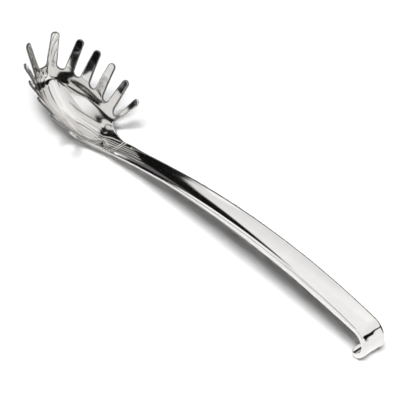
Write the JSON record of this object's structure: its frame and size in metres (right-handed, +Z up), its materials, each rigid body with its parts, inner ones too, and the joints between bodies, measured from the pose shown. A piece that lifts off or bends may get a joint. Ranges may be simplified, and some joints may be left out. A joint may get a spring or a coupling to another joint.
{
  "type": "pasta server",
  "caption": "Polished steel pasta server: an oval bowl edged with upright fingers that lift and hold pasta, and a long arched handle ending in a hanging hook.",
  "frame": {"origin": "on the floor, under the middle of the box around the whole part as it lies on its back, fingers up", "axes": "+X from the bowl to the hook, +Y across the handle, +Z up out of the bowl"},
  "size_m": [0.2966, 0.0574, 0.0485],
  "materials": {
    "bowl_steel": "mirror polished stainless steel",
    "weld_steel": "weld ground flush and polished",
    "handle_steel": "mirror polished stainless steel"
  },
  "bodies": {
    "root": {"toothed_bowl": "bowl_steel", "neck_weld": "weld_steel", "handle": "handle_steel"}
  },
  "joints": []
}
